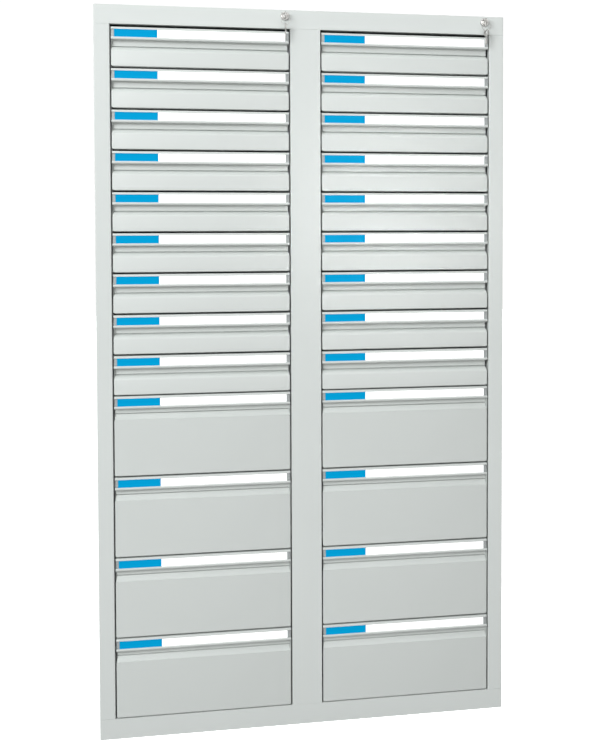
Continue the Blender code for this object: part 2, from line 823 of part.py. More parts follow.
def build_lock(column, centre, nickel, zinc, steel):
    """Lock, keys, cam and locking bar of one column."""
    x = lock_x(centre)
    face = (x, FRONT_Y, LOCK_Z)
    node(f"{column}_lock_housing", lock_housing(), nickel, face, smooth=True)
    node(f"{column}_lock_nut", lock_nut(), zinc, face)
    turning = pivot(f"{column}_lock_pivot", face)
    node(f"{column}_lock_plug", lock_plug(), nickel, parent=turning, smooth=True)
    node(f"{column}_lock_cam", lock_cam(), zinc, parent=turning, smooth=True)
    bow_y = -PLUG_PROUD - KEY_NECK - KEY_BOW_RADIUS
    node(f"{column}_key", key(), steel, (0, bow_y, 0), parent=turning, smooth=True)
    hole_y = bow_y - KEY_HOLE_OFFSET
    hang = KEY_HOLE_RADIUS - RING_WIRE_RADIUS - CLEARANCE
    ring_z = -hang - RING_RADIUS
    ring = torus(RING_RADIUS, RING_WIRE_RADIUS, ROUND_STEPS, WIRE_STEPS)
    node(f"{column}_key_ring", ring, steel, (0, hole_y, ring_z), parent=turning, smooth=True)
    swing = pivot(f"{column}_spare_pivot", (0, hole_y, ring_z), parent=turning)
    spare = key()
    spare.transform(Matrix.Translation(Vector((0, KEY_HOLE_OFFSET, 0))))
    spare.transform(Matrix.Rotation(math.radians(-90), 4, "X"))
    spare.transform(Matrix.Rotation(SPARE_YAWS[column], 4, "Z"))
    node(f"{column}_spare_key", spare, steel, (0, 0, -RING_RADIUS - hang), parent=swing, smooth=True)
    node(f"{column}_locking_bar", locking_bar(), zinc, (centre, FRONT_Y, 0))
    low = PLINTH_HEIGHT + GUIDE_LOW_RISE
    high = STACK_TOP - GUIDE_HIGH_DROP
    node(f"{column}_lower_bar_guide", bar_guide(low), zinc, (centre, FRONT_Y, 0))
    node(f"{column}_upper_bar_guide", bar_guide(high), zinc, (centre, FRONT_Y, 0))


def main():
    """Build the whole cabinet."""
    clear_scene()
    paint = material("light_grey_powder_coat", (0.69, 0.72, 0.71), 0.45, 0.0)
    zinc = material("zinc_plated_steel", (0.62, 0.63, 0.64), 0.38, 1.0)
    nickel = material("nickel_plated_lock", (0.80, 0.80, 0.78), 0.18, 1.0)
    steel = material("key_steel", (0.72, 0.72, 0.70), 0.25, 1.0)
    build_case(paint, zinc)
    build_drawers(paint)
    for column, centre in (("left", -COLUMN_X), ("right", COLUMN_X)):
        build_lock(column, centre, nickel, zinc, steel)


main()
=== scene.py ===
"""Looks of the industrial drawer cabinet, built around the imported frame.

Everything is in metres in the frame's own axes: +Z up, the drawer fronts face -Y.
"""
import json
import math

import bmesh
import bpy
from mathutils import Matrix, Vector


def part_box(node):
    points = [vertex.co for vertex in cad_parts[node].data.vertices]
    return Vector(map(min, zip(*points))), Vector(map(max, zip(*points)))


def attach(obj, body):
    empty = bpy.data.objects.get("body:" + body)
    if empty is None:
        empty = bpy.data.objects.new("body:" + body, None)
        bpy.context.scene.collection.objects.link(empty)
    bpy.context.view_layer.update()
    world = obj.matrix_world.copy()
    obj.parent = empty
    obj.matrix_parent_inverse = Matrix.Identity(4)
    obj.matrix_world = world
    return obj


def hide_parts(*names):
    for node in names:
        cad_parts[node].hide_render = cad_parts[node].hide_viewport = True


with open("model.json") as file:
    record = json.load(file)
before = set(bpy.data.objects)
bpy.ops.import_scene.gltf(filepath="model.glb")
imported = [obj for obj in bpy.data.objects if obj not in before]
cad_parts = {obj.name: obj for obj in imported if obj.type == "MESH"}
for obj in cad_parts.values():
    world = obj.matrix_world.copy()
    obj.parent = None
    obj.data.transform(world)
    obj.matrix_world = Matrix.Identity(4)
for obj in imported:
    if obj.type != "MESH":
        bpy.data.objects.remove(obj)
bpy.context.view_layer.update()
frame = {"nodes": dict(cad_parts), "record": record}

COLUMNS = ("left", "right")
DRAWERS_PER_COLUMN = 13
SHALLOW_DRAWERS = 9

# Camera, from the photograph
CAMERA_PLACE = (-0.274, -3.174, 1.292)
CAMERA_YAW = math.radians(10.881)
CAMERA_PITCH = math.radians(-2.001)
CAMERA_LENS = 55.062
CAMERA_SENSOR = 36.0
CAMERA_SHIFT = (-0.1533, -0.16)

# Surroundings: their strength all round, and what each direction adds to it
WORLD_BASE = 0.34
WORLD_FRONT = 0.08
WORLD_UP = 0.17
WORLD_SIDE = 0.05
WORLD_BACK = 0.6
WORLD_WARM = (1.0, 0.985, 0.965)
WORLD_COOL = (0.985, 1.0, 1.01)
BACKDROP = 1.05

# Floor
FLOOR_CORNERS = ((-9.0, -7.0, -0.02), (9.0, 12.0, 0.0))
FLOOR_DARK = (0.90, 0.90, 0.90)
FLOOR_LIGHT = (0.93, 0.93, 0.93)
FLOOR_NOISE = 3.0
FLOOR_ROUGHNESS = 0.9
FLOOR_GLOW = 1.1

# Lights: place, target, size, power and colour, and the spread of a narrow one
LIGHTS = {
    "key_light": ((-3.0, -4.1, 2.9), (0.0, -0.3, 1.2), (2.6, 2.0), 171, (0.975, 1.0, 1.01)),
    "top_light": ((0.2, -1.9, 4.2), (0.0, -0.3, 1.3), (3.0, 1.0), 22, (0.98, 1.0, 1.0)),
    "soft_light": ((1.0, -3.4, 1.3), (0.25, -0.3, 1.25), (0.6, 0.5), 9.5, (1.0, 1.0, 1.0)),
    "beam_light": ((0.57, -3.2, 1.25), (0.20, -0.3, 1.32), (0.3, 0.3), 0.09, (1.0, 1.0, 1.0)),
    "lock_light": ((0.6, -3.3, 2.2), (0.2, -0.3, 1.7), (2.6, 1.3), 8.0, (1.0, 1.0, 1.0)),
    "floor_light": ((0.0, -1.5, 0.05), (0.0, -0.3, 0.8), (2.4, 0.6), 1.7, (1.0, 1.0, 1.0)),
}
BEAMS = {"beam_light": math.radians(14)}

# Part of a noise's values that is spread over the whole range of a colour or a roughness
NOISE_LOW = 0.3
NOISE_HIGH = 0.7

# Finishes. "shade" is the dark colour's share of the light one, "relief" is height and strength,
# and "tint", "wear" and "grain" are scale, detail and roughness of the noise behind the colour,
# the roughness and the relief.
COAT = {
    "shade": 0.975,
    "tint": (5.0, 2.0, 0.5),
    "roughness": (0.36, 0.46),
    "wear": (60.0, 4.0, 0.5),
    "relief": (0.0002, 0.35),
    "grain": (750.0, 3.0, 0.6),
    "metallic": 0.0,
    "specular": 0.45,
}
ZINC = {
    "tint": (90.0, 5.0, 0.7),
    "roughness": (0.30, 0.46),
    "wear": (260.0, 4.0, 0.5),
    "relief": (0.0001, 0.2),
    "grain": (400.0, 3.0, 0.5),
    "metallic": 1.0,
    "specular": 0.5,
}
NICKEL = {
    "shade": 0.86,
    "tint": (500.0, 4.0, 0.5),
    "roughness": (0.24, 0.36),
    "wear": (900.0, 3.0, 0.5),
    "relief": (0.00005, 0.25),
    "grain": (1500.0, 2.0, 0.5),
    "metallic": 1.0,
    "specular": 0.5,
}
CARD = {
    "shade": 0.96,
    "tint": (1400.0, 3.0, 0.5),
    "roughness": (0.30, 0.42),
    "wear": (45.0, 3.0, 0.5),
    "relief": (0.00005, 0.15),
    "grain": (900.0, 2.0, 0.5),
    "metallic": 0.0,
    "specular": 0.03,
}
STOP_FINISH = {
    "tint": (300.0, 3.0, 0.5),
    "roughness": (0.42, 0.58),
    "wear": (700.0, 3.0, 0.5),
    "relief": (0.00005, 0.2),
    "grain": (1200.0, 2.0, 0.5),
    "metallic": 0.0,
    "specular": 0.5,
}

# Drawer front, measured down from its top edge and back from its face
SHEET = 0.0012
FRONT_DEPTH = 0.020
LIP_TOP = 0.0055
LABEL_WINDOW = 0.019
LIP_BOTTOM = 0.0065
LIP_SHEET = 0.0014
LIP_PROUD = 0.0025
SLOT_DEPTH = 0.0020
SLOT_REACH = 0.0025
TOP_BEND = 0.0036
TOP_BEND_STEPS = 6
FACE_BEND = 0.0018
FACE_BEND_STEPS = 5
SLOPE_POWER = {"shallow": 1.5, "deep": 0.8}
SLOPE_STEPS = 12
BOTTOM_FLANGE = 0.010

# Groove under the lip: its height, its depth and the height of the slope below it
SHALLOW_GROOVE = (0.0155, 0.0135, 0.0125)
DEEP_GROOVE = (0.0125, 0.0095, 0.014)
CREASE_HEIGHT = 0.0026
CREASE_DEPTH = 0.0044
GROOVE_BEND = 0.0015
GROOVE_BEND_STEPS = 3
GROOVE_PULL = 0.20
CURL_POWER = 2.1
CURL_SKEW = 1.35
CURL_STEPS = 16

# Rounding at the ends and the foot of a front
END_ROUND = 0.0024
END_STEPS = 4
LIP_END_ROUND = 0.0005
SLOT_ROUND = 0.0002
FOOT_CORNER = 0.004
FOOT_STEPS = 4
FOOT_TRIM = {"shallow": 0.0006, "deep": 0.0010}

# Tray and runners
TRAY_SIDE_SPACE = 0.0125
SIDE_GAP = 0.0032
TRAY_FLOOR_RISE = 0.010
TRAY_TOP_DROP = 0.030
TRAY_LENGTH = 0.520
TRAY_RIM = 0.006
TRAY_BEND = 0.0024
FOLD_STEPS = 4
RUNNER_BEND = 0.002
REAR_WALL_INSET = 0.004
REAR_WALL_DROP = 0.003
RUNNER_INSET = 0.0005
RUNNER_RISE = 0.015
RUNNER_HEIGHT = 0.020
CATCH_START = 0.0335
CATCH_DEPTH = 0.004
CATCH_RISE = 0.050
CATCH_HEIGHT = 0.008
CATCH_BEVEL = 0.0005

# Label cards and the stops at their ends
CARD_START = 0.0076
BLUE_LENGTH = 0.1018
WHITE_END = 0.0090
CARD_GAP = 0.0006
CARD_FRONT = 0.0016
CARD_THICKNESS = 0.0009
CARD_TUCK = 0.0018
CARD_PLAY = 0.0003
CARD_BEVEL = 0.0002
STOP_LEAN = 0.0014

# Lock housing
LOCK_PROUD = 0.0032
LOCK_RADIUS = 0.011
LOCK_BODY = 0.009
LOCK_BORE = 0.0063
LOCK_END = 0.0235
LOCK_PLAY = 0.0003
RIM_WIDTH = 0.0016
RIM_HEIGHT = 0.0017
RIM_BEND = 0.0004
RIM_BEND_STEPS = 3
RIM_STEP = 0.0006
DISH_INSET = 0.0014
DISH_DROP = 0.0003
DISH_DEPTH = 0.0005
BORE_LAND = 0.0005
BORE_CHAMFER = 0.0009
THREAD_START = 0.007
THREAD_PITCH = 0.0012
THREAD_DEPTH = 0.0006

# Lock plug
PLUG_RADIUS = 0.006
PLUG_PROUD = 0.0026
PLUG_END = 0.0262
PLUG_DISH = 0.0002
PLUG_DISH_INSET = 0.0014
PLUG_RIM_INSET = 0.0011
PLUG_CHAMFER = 0.0004

# Key
KEY_THICKNESS = 0.0022
KEY_BOW = 0.009
KEY_BOW_STEPS = 44
KEY_NECK = 0.0045
KEY_BLADE = 0.016
KEY_HALF = 0.0037
KEY_TIP = 0.003
KEY_HOLE = 0.003
KEY_HOLE_STEPS = 28
KEY_HOLE_OFFSET = 0.0035
KEY_CUTS = ((0.16, 0.0010), (0.30, 0.0014), (0.44, 0.0007), (0.58, 0.0012), (0.72, 0.0008))
KEY_CUT_HALF = 0.0009
KEY_RIM = 0.0016
KEY_RECESS = 0.0003
KEY_RECESS_STEPS = 40
KEY_GROOVE_RISE = 0.0008
KEY_GROOVE_HALF = 0.0005
KEY_BEVEL = 0.00012

# Key ring and the spare key on it
RING_RADIUS = 0.011
RING_WIRE = 0.00045
RING_TURNS = 1.9
RING_STEPS = 40
RING_SIDES = 10
RING_START = math.pi / 5
RING_WIRE_CLEAR = 0.001
RING_SMOOTH = math.radians(60)
SPARE_YAWS = {"left": math.radians(3), "right": math.radians(29)}

# Meshes in general
OVERRUN = 0.010
LATHE_STEPS = 48
BEVEL_SEGMENTS = 2
BEVEL_ANGLE = math.radians(40)
SMOOTH_ANGLE = math.radians(32)
MITRE_LIMIT = 0.4


def node_tree(name):
    """A new material with only a Principled shader, its tree and the shader."""
    made = bpy.data.materials.new(name)
    made.use_nodes = True
    return made, made.node_tree, made.node_tree.nodes["Principled BSDF"]


def noise(tree, scale, detail=2.0, roughness=0.5):
    """Noise in the object's own coordinates."""
    place = tree.nodes.new("ShaderNodeTexCoord")
    made = tree.nodes.new("ShaderNodeTexNoise")
    made.inputs["Scale"].default_value = scale
    made.inputs["Detail"].default_value = detail
    made.inputs["Roughness"].default_value = roughness
    tree.links.new(place.outputs["Object"], made.inputs["Vector"])
    return made.outputs["Fac"]


def ranged(tree, value, low, high):
    """Map a noise onto a range."""
    made = tree.nodes.new("ShaderNodeMapRange")
    made.inputs["From Min"].default_value = NOISE_LOW
    made.inputs["From Max"].default_value = NOISE_HIGH
    made.inputs["To Min"].default_value = low
    made.inputs["To Max"].default_value = high
    tree.links.new(value, made.inputs["Value"])
    return made.outputs["Result"]


def tinted(tree, value, dark, light, start=NOISE_LOW, end=NOISE_HIGH):
    """A colour between two by a 0 to 1 value."""
    made = tree.nodes.new("ShaderNodeValToRGB")
    made.color_ramp.elements[0].position = start
    made.color_ramp.elements[1].position = end
    made.color_ramp.elements[0].color = (*dark, 1.0)
    made.color_ramp.elements[1].color = (*light, 1.0)
    tree.links.new(value, made.inputs["Fac"])
    return made.outputs["Color"]


def bumped(tree, shader, value, distance, strength):
    """Raise the surface by a 0 to 1 value."""
    made = tree.nodes.new("ShaderNodeBump")
    made.inputs["Distance"].default_value = distance
    made.inputs["Strength"].default_value = strength
    tree.links.new(value, made.inputs["Height"])
    tree.links.new(made.outputs["Normal"], shader.inputs["Normal"])


def finish(name, kind, light, dark=None, painted_glow=None):
    """A material whose colour, roughness and relief each vary by a noise of their own."""
    made, tree, shader = node_tree(name)
    dark = dark or tuple(kind["shade"] * part for part in light)
    tree.links.new(tinted(tree, noise(tree, *kind["tint"]), dark, light), shader.inputs["Base Color"])
    tree.links.new(ranged(tree, noise(tree, *kind["wear"]), *kind["roughness"]), shader.inputs["Roughness"])
    bumped(tree, shader, noise(tree, *kind["grain"]), *kind["relief"])
    shader.inputs["Metallic"].default_value = kind["metallic"]
    shader.inputs["Specular IOR Level"].default_value = kind["specular"]
    # Painted light: the glow brightens the surface though it is no lamp.
    if painted_glow:
        shader.inputs["Emission Color"].default_value = (*painted_glow, 1.0)
        shader.inputs["Emission Strength"].default_value = 1.0
    return made


# The cards glow a little: painted light that keeps them bright where shade falls on them.
LOOKS = {
    "powder_coat": finish("light_grey_powder_coat", COAT, (0.640, 0.668, 0.650)),
    "front_coat": finish("drawer_front_powder_coat", COAT, (0.618, 0.645, 0.626)),
    # Painted shade: the deep fronts, the lowest ones, get a darker copy of the front coat for the light
    # that falls off towards the bottom.
    "shaded_deep_front_coat": finish("deep_drawer_front_painted_shade_coat", COAT, (0.600, 0.627, 0.608)),
    "zinc_steel": finish("zinc_plate", ZINC, (0.64, 0.65, 0.66), dark=(0.50, 0.52, 0.54)),
    "lock_nickel": finish("lock_nickel", NICKEL, (0.84, 0.83, 0.81)),
    "key_steel": finish("key_nickel", NICKEL, (0.64, 0.63, 0.61)),
    "label_blue": finish("label_blue", CARD, (0.0, 0.190, 0.360), painted_glow=(0.0, 0.150, 0.300)),
    "label_white": finish("label_white", CARD, (0.85, 0.855, 0.85), painted_glow=(0.50, 0.50, 0.50)),
    # The card stops are a darker grey than the coat, which makes the label channel's ends look dark.
    "card_stop": finish("dark_grey_card_stop", STOP_FINISH, (0.39, 0.41, 0.41), dark=(0.33, 0.35, 0.35)),
}
SLOTS = {name: name for name in LOOKS if name != "card_stop"}
SLOTS["front_coat"] = SLOTS["shaded_deep_front_coat"] = "powder_coat"


def linked(name, data):
    """A new object in the scene."""
    item = bpy.data.objects.new(name, data)
    bpy.context.scene.collection.objects.link(item)
    return item


def finished(shape):
    """Turn a bmesh into a mesh with its faces pointing out."""
    bmesh.ops.recalc_face_normals(shape, faces=shape.faces)
    mesh = bpy.data.meshes.new("shape")
    shape.to_mesh(mesh)
    shape.free()
    return mesh


def settled(holder, helpers=()):
    """The mesh that an object's modifiers make, after which the objects go."""
    seen = holder.evaluated_get(bpy.context.evaluated_depsgraph_get())
    result = bpy.data.meshes.new_from_object(seen)
    for item in (*helpers, holder):
        bpy.data.objects.remove(item)
    return result


def prism(outline, axis, start, end):
    """Mesh of a flat outline drawn out along an axis, closed at both ends."""
    place = {
        "X": lambda a, b, c: (c, a, b),
        "Y": lambda a, b, c: (a, c, b),
        "Z": lambda a, b, c: (a, b, c),
    }[axis]
    shape = bmesh.new()
    near = [shape.verts.new(place(a, b, start)) for a, b in outline]
    far = [shape.verts.new(place(a, b, end)) for a, b in outline]
    shape.faces.new(near)
    shape.faces.new(far)
    for index in range(len(outline)):
        after = (index + 1) % len(outline)
        shape.faces.new((near[index], near[after], far[after], far[index]))
    return finished(shape)


def box(low, high):
    """Mesh of a box between two corners."""
    outline = [(low[0], low[1]), (high[0], low[1]), (high[0], high[1]), (low[0], high[1])]
    return prism(outline, "Z", low[2], high[2])


def round_bar(radius, low, high, steps, along):
    """Mesh of a round bar along X, centred on the Y axis at a place along it."""
    turns = [2 * math.pi * step / steps for step in range(steps)]
    circle = [(along + radius * math.cos(turn), radius * math.sin(turn)) for turn in turns]
    return prism(circle, "X", low, high)


def lathe(profile):
    """Mesh of a closed profile of (radius, back) turned about the Y axis."""
    turns = [2 * math.pi * step / LATHE_STEPS for step in range(LATHE_STEPS)]
    shape = bmesh.new()
    rings = []
    for radius, back in profile:
        if radius == 0:
            rings.append([shape.verts.new((0, back, 0))])
            continue
        places = [(radius * math.cos(turn), back, radius * math.sin(turn)) for turn in turns]
        rings.append([shape.verts.new(place) for place in places])
    for ring, after in zip(rings, rings[1:] + rings[:1]):
        if len(ring) == 1 and len(after) == 1:
            continue
        for step in range(LATHE_STEPS):
            nxt = (step + 1) % LATHE_STEPS
            near = [ring[step % len(ring)], ring[nxt % len(ring)]]
            far = [after[nxt % len(after)], after[step % len(after)]]
            shape.faces.new(list(dict.fromkeys(near + far)))
    return finished(shape)


def joined(meshes):
    """One mesh that holds several separate ones."""
    shape = bmesh.new()
    for mesh in meshes:
        shape.from_mesh(mesh)
    return finished(shape)


def combined(base, added=(), cut=()):
    """A mesh with others joined to it and then others cut from it."""
    holder = linked("base", base)
    helpers = []
    for operation, meshes in (("UNION", added), ("DIFFERENCE", cut)):
        for mesh in meshes:
            helper = linked("helper", mesh)
            helpers.append(helper)
            step = holder.modifiers.new(operation, "BOOLEAN")
            step.operation = operation
            step.object = helper
            step.solver = "EXACT"
    return settled(holder, helpers)


def bevelled(mesh, width):
    """The mesh with its sharp edges rounded."""
    holder = linked("base", mesh)
    step = holder.modifiers.new("round", "BEVEL")
    step.width = width
    step.segments = BEVEL_SEGMENTS
    step.limit_method = "ANGLE"
    step.angle_limit = BEVEL_ANGLE
    return settled(holder)


def softened(mesh, angle=SMOOTH_ANGLE):
    """The mesh shaded smooth except across sharp edges."""
    mesh.shade_smooth()
    mesh.set_sharp_from_angle(angle=angle)
    return mesh


def arc(path, radius, steps):
    """The path with each inner corner replaced by an arc."""
    rounded = [path[0]]
    for before, corner, after in zip(path, path[1:], path[2:]):
        corner = Vector(corner)
        back = (Vector(before) - corner).normalized()
        ahead = (Vector(after) - corner).normalized()
        half = back.angle(ahead) / 2
        reach = radius / math.tan(half)
        centre = corner + (back + ahead).normalized() * radius / math.sin(half)
        start = corner + back * reach - centre
        end = corner + ahead * reach - centre
        for step in range(steps + 1):
            spoke = start.lerp(end, step / steps).normalized() * radius
            rounded.append(tuple(centre + spoke))
    rounded.append(path[-1])
    return rounded


def sheet_outline(path, thickness):
    """Closed outline of a folded sheet that lies to the left of its outer line."""
    inner = []
    for index, point in enumerate(path):
        here = Vector(point)
        arrive = (here - Vector(path[index - 1])).normalized() if index else None
        leave = (Vector(path[index + 1]) - here).normalized() if index < len(path) - 1 else None
        arrive = arrive or leave
        leave = leave or arrive
        first = Vector((-arrive.y, arrive.x))
        second = Vector((-leave.y, leave.x))
        inner.append(tuple(here + (first + second) / (1 + first.dot(second)) * thickness))
    return list(path) + inner[::-1]


def inward(outline):
    """Mitred inward direction at each point of a closed outline."""
    area = 0.0
    for (a, b), (c, d) in zip(outline, outline[1:] + outline[:1]):
        area += a * d - c * b
    sense = 1 if area > 0 else -1
    directions = []
    for index, point in enumerate(outline):
        here = Vector(point)
        arrive = (here - Vector(outline[index - 1])).normalized()
        leave = (Vector(outline[(index + 1) % len(outline)]) - here).normalized()
        first = Vector((-arrive.y, arrive.x)) * sense
        second = Vector((-leave.y, leave.x)) * sense
        directions.append((first + second) / max(1 + first.dot(second), MITRE_LIMIT))
    return directions


def round_ended(points, half_width):
    """Mesh of an outline of (back, up, end radius, end inset) drawn out along X with rounded end edges."""
    outline = [(back, up) for back, up, _, _ in points]
    directions = inward(outline)
    shape = bmesh.new()
    rings = []
    for side in (-1, 1):
        turns = range(END_STEPS, -1, -1) if side < 0 else range(END_STEPS + 1)
        for turn in turns:
            angle = math.pi / 2 * turn / END_STEPS
            ring = []
            for (back, up, radius, end_inset), way in zip(points, directions):
                x = side * (half_width - end_inset - radius * (1 - math.sin(angle)))
                inset = radius * (1 - math.cos(angle))
                ring.append(shape.verts.new((x, back + way.x * inset, up + way.y * inset)))
            rings.append(ring)
    for ring, after in zip(rings, rings[1:]):
        for index in range(len(outline)):
            nxt = (index + 1) % len(outline)
            shape.faces.new((ring[index], ring[nxt], after[nxt], after[index]))
    for ring in (rings[0], rings[-1]):
        shape.faces.new(ring)
    bmesh.ops.triangulate(shape, faces=[face for face in shape.faces if len(face.verts) > 4])
    return finished(shape)


def front_levels(kind, height):
    """Heights of a front's lip, groove and slope, and the groove's depth."""
    groove_height, groove_depth, slope_height = DEEP_GROOVE if kind == "deep" else SHALLOW_GROOVE
    lip_low = height - LIP_TOP - LABEL_WINDOW - LIP_BOTTOM
    groove_low = lip_low - groove_height
    return lip_low, groove_low, groove_low - slope_height, groove_depth


def lip_points(height):
    """Top of a front: upper lip, label channel and curled lower lip."""
    rear = FRONT_DEPTH + SHEET
    slot_back = LIP_SHEET + SLOT_DEPTH
    window_top = height - LIP_TOP
    window_low = window_top - LABEL_WINDOW
    channel = [
        (LIP_SHEET, window_top),
        (LIP_SHEET, window_top + SLOT_REACH / 2),
        (slot_back, window_top + SLOT_REACH / 2),
        (slot_back, window_low - SLOT_REACH),
        (LIP_SHEET, window_low - SLOT_REACH),
        (LIP_SHEET, window_low),
    ]
    top = arc([(rear, height), (0, height), (0, 0)], TOP_BEND, TOP_BEND_STEPS)[1:-1]
    top += [(0, window_top)]
    points = [(rear, height, 0.0, 0.0)]
    points += [(back, up, LIP_END_ROUND, 0.0) for back, up in top]
    points += [(back, up, SLOT_ROUND, 0.0) for back, up in channel]
    for step in range(CURL_STEPS + 1):
        rise = math.cos(math.pi * step / CURL_STEPS)
        bulge = (1 - min(abs(rise), 1.0) ** CURL_POWER) ** (1 / CURL_POWER)
        up = window_low - LIP_BOTTOM * ((1 - rise) / 2) ** CURL_SKEW
        points.append((-LIP_PROUD * bulge, up, LIP_END_ROUND, 0.0))
    return points


def front_outline(kind, height):
    """Outer line of a drawer front as (back, up, end radius, end inset)."""
    lip_low, groove_low, slope_low, depth = front_levels(kind, height)
    rear = FRONT_DEPTH + SHEET
    points = lip_points(height)
    crease_top = groove_low + CREASE_HEIGHT / 2
    crease_low = groove_low - CREASE_HEIGHT / 2
    groove = arc([(0, lip_low), (depth, lip_low), (depth, crease_top)], GROOVE_BEND, GROOVE_BEND_STEPS)[1:]
    groove += [(depth + CREASE_DEPTH, groove_low), (depth, crease_low)]
    points += [(back, up, LIP_END_ROUND, GROOVE_PULL * back) for back, up in groove]
    power = 2 / SLOPE_POWER[kind]
    for step in range(1, SLOPE_STEPS + 1):
        turn = math.pi / 2 * step / SLOPE_STEPS
        back = depth * (1 - math.sin(turn) ** power)
        fall = max(math.cos(turn), 0.0) ** power
        points.append((back, slope_low + (crease_low - slope_low) * fall, END_ROUND, GROOVE_PULL * back))
    bend_angle = math.asin(1 - FACE_BEND / FOOT_CORNER)
    rises = [math.sin(bend_angle * step / FOOT_STEPS) for step in range(FOOT_STEPS)]
    foot = [(0, FOOT_CORNER * (1 - rise)) for rise in rises]
    foot += arc([(0, slope_low), (0, 0), (rear, 0)], FACE_BEND, FACE_BEND_STEPS)[1:-1] + [(rear, 0)]
    for back, up in foot:
        left = FOOT_CORNER - max(up, 0.0)
        end_inset = FOOT_CORNER - math.sqrt(FOOT_CORNER**2 - left**2)
        points.append((back, up + FOOT_TRIM[kind], 0.0 if back == rear else END_ROUND, end_inset))
    return points


def front_hollow(kind, height, half_width):
    """Space behind the front's sheet, open underneath."""
    lip_low, groove_low, slope_low, depth = front_levels(kind, height)
    front = LIP_SHEET + SLOT_DEPTH + SHEET
    inner = depth + CREASE_DEPTH + SHEET
    trim = FOOT_TRIM[kind]
    outline = [
        (FRONT_DEPTH, height - SHEET),
        (front, height - SHEET),
        (front, lip_low + SHEET),
        (inner, lip_low + SHEET),
        (inner, groove_low - SHEET),
        (SHEET * 2, slope_low - SHEET),
        (SHEET * 2, SHEET * 2 + trim),
        (BOTTOM_FLANGE, SHEET + trim),
        (BOTTOM_FLANGE, -OVERRUN),
        (FRONT_DEPTH, -OVERRUN),
    ]
    reach = half_width - FOOT_CORNER - SHEET
    return prism(outline, "X", -reach, reach)


def tray_mesh(height, half_opening):
    """Folded tray with safe rims and its rear wall."""
    half = half_opening - TRAY_SIDE_SPACE
    top = height - TRAY_TOP_DROP
    path = [
        (half - TRAY_RIM, top),
        (half, top),
        (half, TRAY_FLOOR_RISE),
        (-half, TRAY_FLOOR_RISE),
        (-half, top),
        (-half + TRAY_RIM, top),
    ]
    outline = sheet_outline(arc(path, TRAY_BEND, FOLD_STEPS), -SHEET)
    rear = FRONT_DEPTH + TRAY_LENGTH
    tray = prism(outline, "Y", FRONT_DEPTH + SHEET, rear)
    wall = box(
        (-half + SHEET / 2, rear - REAR_WALL_INSET - SHEET, TRAY_FLOOR_RISE + SHEET / 2),
        (half - SHEET / 2, rear - REAR_WALL_INSET, top - REAR_WALL_DROP),
    )
    return softened(combined(tray, added=[wall]))


def runner_mesh(half_opening, side):
    """Drawer runner: an angle whose web rides in the case's rail."""
    half = half_opening - TRAY_SIDE_SPACE
    outer = half_opening - SIDE_GAP - RUNNER_INSET
    top = RUNNER_RISE + RUNNER_HEIGHT
    path = [(half, top), (outer, top), (outer, RUNNER_RISE)]
    section = sheet_outline(arc(path, RUNNER_BEND, FOLD_STEPS), -SHEET)
    outline = [(side * a, b) for a, b in section]
    return softened(prism(outline, "Y", FRONT_DEPTH + SHEET, FRONT_DEPTH + TRAY_LENGTH))


def card_stops(half, low, high):
    """Tabs at both ends of the label channel that keep the cards in."""
    back = LIP_SHEET + SLOT_DEPTH
    left, left_end = -half + SLOT_ROUND, -half + CARD_START - CARD_PLAY
    right, right_end = half - WHITE_END + CARD_PLAY, half - SLOT_ROUND
    tabs = (
        [(left, back), (left, CARD_FRONT + STOP_LEAN), (left_end, CARD_FRONT), (left_end, back)],
        [(right, back), (right, CARD_FRONT), (right_end, CARD_FRONT + STOP_LEAN), (right_end, back)],
    )
    return joined([prism(tab, "Z", low, high) for tab in tabs])


def lock_face():
    """Nickel housing: threaded barrel and round face with a rounded rim and a dish."""
    rim = arc(
        [
            (LOCK_RADIUS, -LOCK_PLAY),
            (LOCK_RADIUS, -LOCK_PROUD + RIM_HEIGHT),
            (LOCK_RADIUS - RIM_WIDTH, -LOCK_PROUD),
            (LOCK_BODY - RIM_STEP, -LOCK_PROUD),
        ],
        RIM_BEND,
        RIM_BEND_STEPS,
    )
    dish = [
        (LOCK_BODY - DISH_INSET, -LOCK_PROUD + DISH_DROP),
        (LOCK_BORE + BORE_LAND, -LOCK_PROUD + DISH_DEPTH),
        (LOCK_BORE, -LOCK_PROUD + BORE_CHAMFER),
    ]
    thread = []
    place = THREAD_START
    while place < LOCK_END - THREAD_PITCH:
        thread += [(LOCK_BODY, place), (LOCK_BODY - THREAD_DEPTH, place + THREAD_PITCH / 2)]
        place += THREAD_PITCH
    barrel = [(LOCK_BORE, LOCK_END), (LOCK_BODY - THREAD_DEPTH, LOCK_END)]
    barrel += thread[::-1] + [(LOCK_BODY, -LOCK_PLAY)]
    return softened(lathe(rim + dish + barrel))


def lock_plug():
    """Nickel plug with a chamfered face and its keyway."""
    core = lathe(
        [
            (0, -PLUG_PROUD + PLUG_DISH),
            (PLUG_RADIUS - PLUG_DISH_INSET, -PLUG_PROUD + PLUG_DISH),
            (PLUG_RADIUS - PLUG_RIM_INSET, -PLUG_PROUD),
            (PLUG_RADIUS - PLUG_CHAMFER, -PLUG_PROUD),
            (PLUG_RADIUS, -PLUG_PROUD + PLUG_CHAMFER),
            (PLUG_RADIUS, PLUG_END),
            (0, PLUG_END),
        ]
    )
    half = KEY_THICKNESS / 2 + LOCK_PLAY
    tall = KEY_HALF + LOCK_PLAY
    end = -PLUG_PROUD + KEY_BLADE + LOCK_PLAY
    keyway = box((-half, -PLUG_PROUD - OVERRUN, -tall), (half, end, tall))
    return softened(combined(core, cut=[keyway]))


